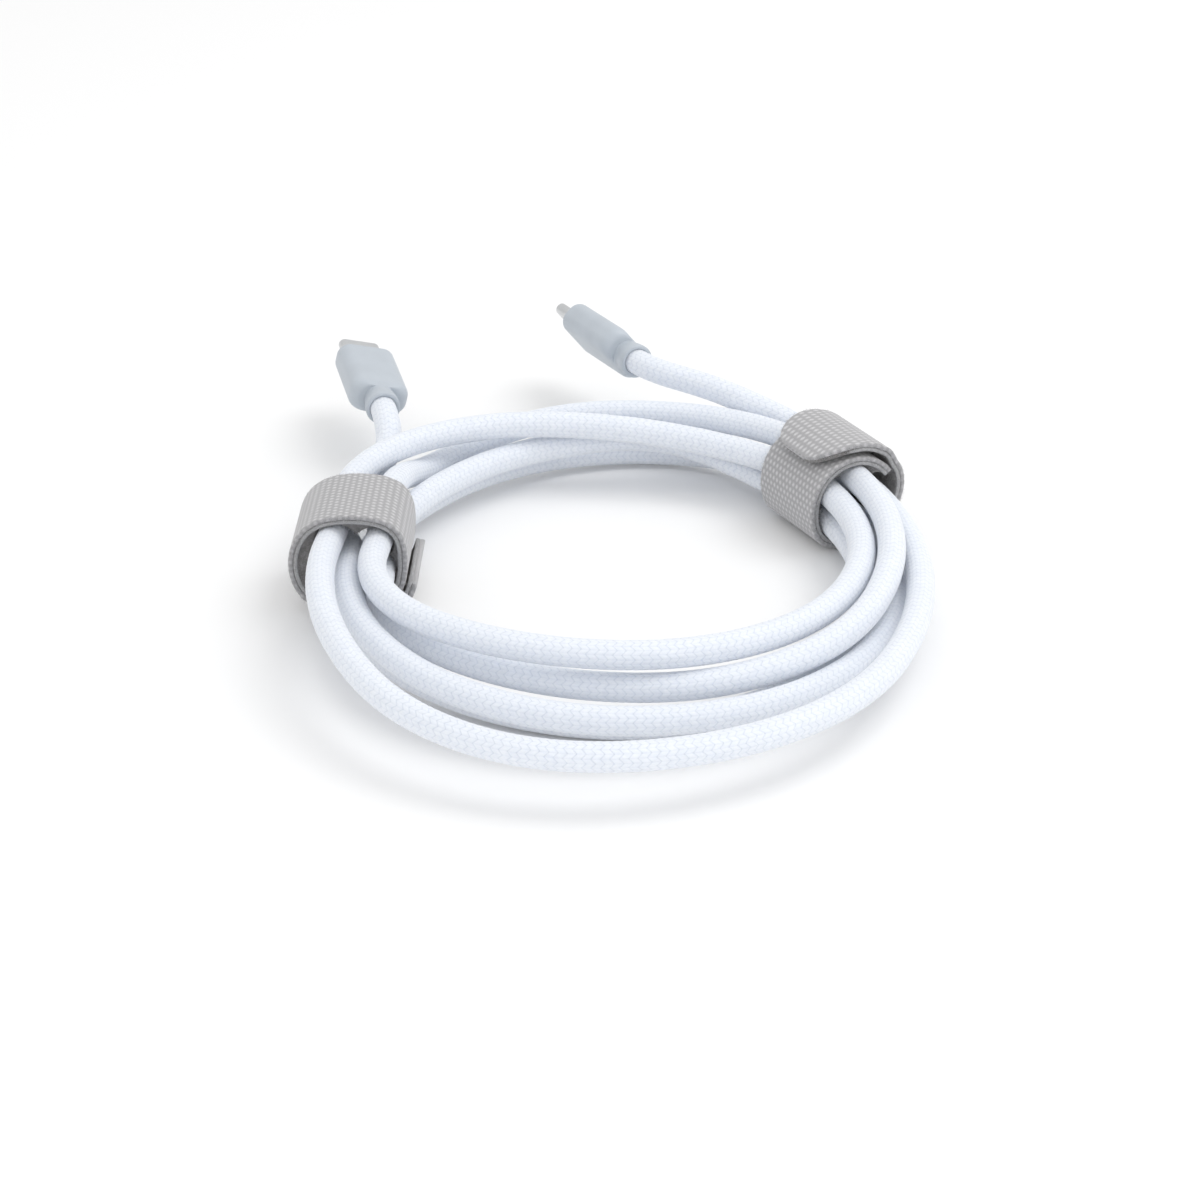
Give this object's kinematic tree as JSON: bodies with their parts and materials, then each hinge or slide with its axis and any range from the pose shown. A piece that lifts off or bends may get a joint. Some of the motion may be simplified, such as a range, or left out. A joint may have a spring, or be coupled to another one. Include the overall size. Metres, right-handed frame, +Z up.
{
  "type": "charging cable",
  "caption": "Braided charging cable in a loose oval coil, a small flat plug at each end, held by hook-and-loop ties.",
  "frame": {"origin": "on the floor, below the middle of the box round both plugs and both ties", "axes": "+Z up, +Y from the front of the coil to the plugs, +X to the right tie"},
  "size_m": [0.1128, 0.1748, 0.0216],
  "materials": {
    "braid": "fine herringbone braid, white with a slight blue tint",
    "grip": "satin light grey soft moulding",
    "steel": "satin stamped steel",
    "hard_fill": "plain moulded fill",
    "wire": "bare drawn wire ends",
    "board": "green circuit board",
    "chip": "black moulded chip",
    "carrier": "black moulded carrier",
    "contact": "plated contacts",
    "hook": "fuzzy grey hook ply",
    "loop": "woven warm light grey ply"
  },
  "bodies": {
    "cable": {"cord_coil": "braid", "lead_left": "braid", "lead_right": "braid", "overmould_left": "grip", "strain_relief_left": "grip", "jacket_end_left": "braid", "crimp_ferrule_left": "steel", "inner_mould_left": "hard_fill", "shield_can_left": "steel", "conductors_left": "wire", "paddle_card_left": "board", "marker_chip_left": "chip", "connector_shell_left": "steel", "insulator_left": "carrier", "contacts_upper_left": "contact", "contacts_lower_left": "contact", "latch_plate_left": "steel", "ground_springs_left": "steel", "overmould_right": "grip", "strain_relief_right": "grip", "jacket_end_right": "braid", "crimp_ferrule_right": "steel", "inner_mould_right": "hard_fill", "shield_can_right": "steel", "conductors_right": "wire", "paddle_card_right": "board", "marker_chip_right": "chip", "connector_shell_right": "steel", "insulator_right": "carrier", "contacts_upper_right": "contact", "contacts_lower_right": "contact", "latch_plate_right": "steel", "ground_springs_right": "steel", "hook_ply_left": "hook", "loop_ply_left": "loop", "hook_ply_right": "hook", "loop_ply_right": "loop"},
    "tab_left": {"tab_hook_left": "hook", "tab_loop_left": "loop"},
    "tab_right": {"tab_hook_right": "hook", "tab_loop_right": "loop"}
  },
  "joints": [
    {"name": "tab_left_peel", "type": "hinge", "parent": "cable", "child": "tab_left", "pos_m": [-0.03415, -0.04435, 0.00288], "axis": [0.0262, 0.9997, 0], "range_deg": [0, 95]},
    {"name": "tab_right_peel", "type": "hinge", "parent": "cable", "child": "tab_right", "pos_m": [0.04763, -0.01347, 0.0184], "axis": [-0.4772, 0.8788, 0], "range_deg": [0, 110]}
  ]
}
